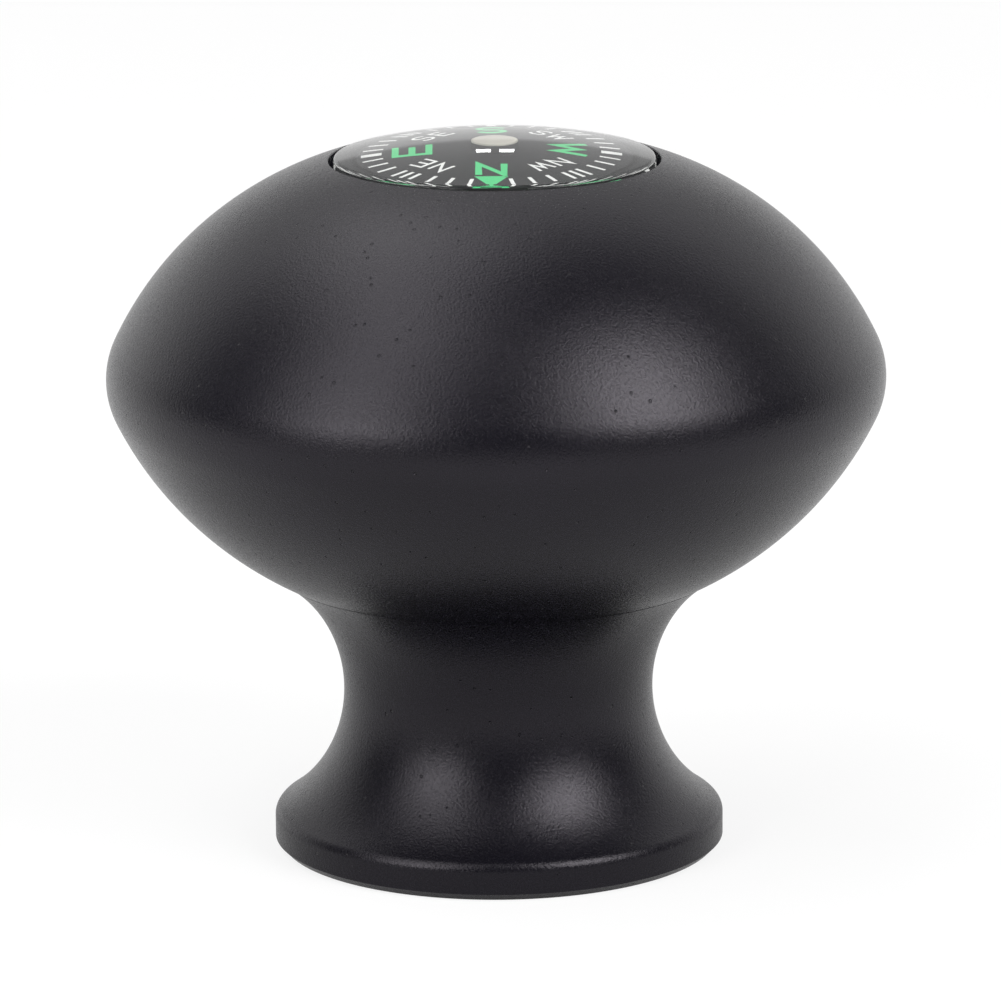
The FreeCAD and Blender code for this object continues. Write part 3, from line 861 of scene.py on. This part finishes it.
class COMPASS_OT_works(Operator):
    """Finishes of the inner works that stay as their CAD nodes."""

    bl_idname = "compass.works"
    bl_label = "Inner works"

    def execute(self, context):
        brass = bpy.data.materials["turned_brass"]
        for node in ("pivot_bush", "diaphragm_ring", "fill_plug"):
            dress_node(node, brass)
        dress_node("card_hub", bpy.data.materials["card_black"])
        steel = turned_metal("polished_steel", (0.58, 0.58, 0.6), roughness=0.18)
        for node in ("pivot_pin", "magnet_left", "magnet_right"):
            dress_node(node, steel)
        ruby = moulded("ruby_jewel", (0.42, 0.02, 0.06), roughness=0.12, grain=0.3 * MM,
                       depth=0.001 * MM)
        dress_node("jewel_cup", ruby)
        dress_node("card_float", moulded("float_white", (0.7, 0.7, 0.68), roughness=0.5))
        dress_node("expansion_diaphragm", bpy.data.materials["black_rubber"])
        return {"FINISHED"}


# ---------------------------------------------------------------- studio


# Where the lamps point, and each softbox's name, place, width, height and power, in metres and watts.
AIM = (0, 0, 0.03)
SOFTBOXES = (
    ("lamp_left", (-0.43, -0.35, 0.53), 0.46, 0.95, 4.4),
    ("lamp_left_low", (-0.44, -0.53, 0.31), 0.24, 0.24, 1.0),
    ("lamp_top_left", (-0.22, 0.16, 0.75), 0.50, 0.50, 2.0),
    ("lamp_right", (0.46, -0.37, 0.49), 0.40, 0.46, 5.4))
# The same for the two small lamps behind, which are mirror images of each other.
BACK_LAMP = ("lamp_back", (0.0125, 0.92, 0.417), 0.015, 0.030, 0.016)

FLOOR_SPAN = 3.0
FLOOR_GLOW = 0.8
# Smooth steps: where one starts and ends, and the levels before and after it.
# FLOOR_SHADE is a painted shadow: it dims the floor's glow near the part, as mirrored light sees it.
FLOOR_SHADE = (0.02, 0.075, 0.42, 0.0)
ROOM_MATT = (-1.0, 1.0, 0.2, 0.45)
ROOM_MIRRORED = (0.14, 0.58, 0.05, 1.0)
WALL_TOP = (0.20, 0.28, 0.0, 1.0)
WALL_MIDDLE = (0.66, 0.86, 0.0, 1.0)
WALL_SHADE = (0.0, 1.0, 1.0, 0.62)

# The camera: place and reach in metres, lens and sensor in millimetres.
CAMERA_PLACE = (0.000225, -0.43577, 0.128785)
CAMERA_PITCH = math.radians(-13.70)
CAMERA_ROLL = math.radians(-0.39)
CAMERA_LENS = 250.29
CAMERA_SENSOR = 36
CAMERA_REACH = (0.05, 20)


def area_lamp(name, place, width, height, power):
    """Rectangular soft lamp at place that faces the part."""
    lamp = bpy.data.lights.new(name, "AREA")
    lamp.shape = "RECTANGLE"
    lamp.size, lamp.size_y, lamp.energy = width, height, power
    holder = bpy.data.objects.new(name, lamp)
    holder.location = place
    holder.rotation_mode = "QUATERNION"
    holder.rotation_quaternion = (Vector(AIM) - Vector(place)).to_track_quat("-Z", "Y")
    bpy.context.scene.collection.objects.link(holder)
    return holder


def keep_off(lamps, name):
    """Leave one piece out of what the lamps light, so that none of them glares in its polish."""
    left_out = bpy.data.collections.new(name + "_left_out")
    left_out.objects.link(bpy.data.objects[name])
    left_out.collection_objects[0].light_linking.link_state = "EXCLUDE"
    for lamp in lamps:
        lamp.light_linking.receiver_collection = left_out


class COMPASS_OT_stage(Operator):
    """Pale floor, white surroundings, soft lamps and the camera."""

    bl_idname = "compass.stage"
    bl_label = "Studio"

    def execute(self, context):
        scene = context.scene
        scene.view_settings.view_transform = "Standard"
        self.make_floor()
        self.make_world(scene)
        keep_off([area_lamp(*softbox) for softbox in SOFTBOXES], "lens")
        name, (x, y, z), *rest = BACK_LAMP
        for side in (-1, 1):
            area_lamp(name, (side * x, y, z), *rest)
        self.make_camera(scene)
        return {"FINISHED"}

    def make_floor(self):
        """Pale matt floor that glows like the backdrop where it is seen.

        The glow counts for the camera, the lens and mirrored light. In mirrored light it is weaker near
        the part, by FLOOR_SHADE's level at each distance from the axis: a painted shadow of the part.
        """
        corners = FLOOR_SPAN * np.array([(-1, -1, 0), (1, -1, 0), (1, 1, 0), (-1, 1, 0)])
        floor = mesh_object("floor", corners, [[0, 1, 2, 3]])
        material, shader = new_material("floor_white", (0.86, 0.86, 0.86), roughness=0.7)
        speckle = object_noise(material, 4 * MM)
        tinted(material, shader, speckle, (0.85, 0.85, 0.85), (0.87, 0.87, 0.87))
        path = add_node(material, "ShaderNodeLightPath").outputs
        place = add_node(material, "ShaderNodeTexCoord")
        away = add_node(material, "ShaderNodeVectorMath")
        away.operation = "LENGTH"
        glow = add_node(material, "ShaderNodeEmission")
        wire(material, (place.outputs["Object"], away.inputs[0]))
        # Painted shadow: the glow that mirrored light sees fades near the part.
        near = ranged(material, away.outputs["Value"], *FLOOR_SHADE, "SMOOTHSTEP")
        painted_shadow = combined(material, "MULTIPLY", path["Is Glossy Ray"], near)
        wire(material, (combined(material, "SUBTRACT", 1.0, painted_shadow), glow.inputs["Strength"]))
        share = combined(material, "MAXIMUM", seen(material, path), path["Is Glossy Ray"])
        blended(material, combined(material, "MULTIPLY", share, FLOOR_GLOW), shader, glow)
        floor.data.materials.append(material)

    def make_world(self, scene):
        """White backdrop where it is seen, in a room that grows dimmer from behind to front.

        Levels follow a direction's Y, towards the back, and its Z, upwards. Mirrored light finds
        a dark room with a white wall behind, a little darker high up in the wall's middle. Matt
        light finds a dim room, brighter behind.
        """
        world = bpy.data.worlds.new("studio")
        scene.world = world
        world.use_nodes = True
        place = add_node(world, "ShaderNodeTexCoord")
        split = add_node(world, "ShaderNodeSeparateXYZ")
        wire(world, (place.outputs["Generated"], split.inputs["Vector"]))
        path = add_node(world, "ShaderNodeLightPath").outputs
        back, up = split.outputs["Y"], split.outputs["Z"]
        matt = ranged(world, back, *ROOM_MATT, "SMOOTHSTEP")
        room = ranged(world, back, *ROOM_MIRRORED, "SMOOTHSTEP")
        above = ranged(world, up, *WALL_TOP, "SMOOTHSTEP")
        middle = ranged(world, back, *WALL_MIDDLE, "SMOOTHSTEP")
        shaded = combined(world, "MULTIPLY", above, middle)
        wall = ranged(world, shaded, *WALL_SHADE, "SMOOTHSTEP")
        mirrored = combined(world, "MULTIPLY", wall, room)
        level = chosen(world, path["Is Glossy Ray"], matt, mirrored)
        level = chosen(world, seen(world, path), level, 1.0)
        background = world.node_tree.nodes["Background"]
        background.inputs["Color"].default_value = (1, 1, 1, 1)
        wire(world, (level, background.inputs["Strength"]))

    def make_camera(self, scene):
        """Long lens in front that looks a little down on the part."""
        camera = bpy.data.cameras.new("camera")
        camera.lens, camera.sensor_width = CAMERA_LENS, CAMERA_SENSOR
        camera.clip_start, camera.clip_end = CAMERA_REACH
        holder = bpy.data.objects.new("camera", camera)
        holder.location = CAMERA_PLACE
        tilt = Euler((math.pi / 2 + CAMERA_PITCH, 0, 0)).to_quaternion()
        holder.rotation_mode = "QUATERNION"
        holder.rotation_quaternion = tilt @ Quaternion((0, 0, 1), CAMERA_ROLL)
        scene.collection.objects.link(holder)
        scene.camera = holder


class COMPASS_PT_panel(Panel):
    """Sidebar panel with one button for each group of pieces."""

    bl_idname = "COMPASS_PT_panel"
    bl_label = "Pedestal compass"
    bl_space_type = "VIEW_3D"
    bl_region_type = "UI"
    bl_category = "Compass"

    def draw(self, context):
        for operator in OPERATORS:
            self.layout.operator(operator.bl_idname)
        for group in SETTINGS:
            settings = getattr(context.scene, group)
            box = self.layout.box()
            for name in settings.bl_rna.properties.keys():
                if name not in ("rna_type", "name"):
                    box.prop(settings, name)


SETTINGS = {"compass_housing": HousingSettings, "compass_capsule": CapsuleSettings,
            "compass_dial": DialSettings}
OPERATORS = (COMPASS_OT_head, COMPASS_OT_pedestal, COMPASS_OT_insert, COMPASS_OT_bowl, COMPASS_OT_lens,
             COMPASS_OT_card, COMPASS_OT_dial, COMPASS_OT_works, COMPASS_OT_stage)


def register():
    for cls in (*SETTINGS.values(), *OPERATORS, COMPASS_PT_panel):
        bpy.utils.register_class(cls)
    for name, group in SETTINGS.items():
        setattr(bpy.types.Scene, name, PointerProperty(type=group))


def unregister():
    for name in SETTINGS:
        delattr(bpy.types.Scene, name)
    for cls in reversed((*SETTINGS.values(), *OPERATORS, COMPASS_PT_panel)):
        bpy.utils.unregister_class(cls)


def main():
    register()
    for operator in OPERATORS:
        getattr(bpy.ops.compass, operator.bl_idname.split(".")[1])()


if __name__ == "__main__":
    main()
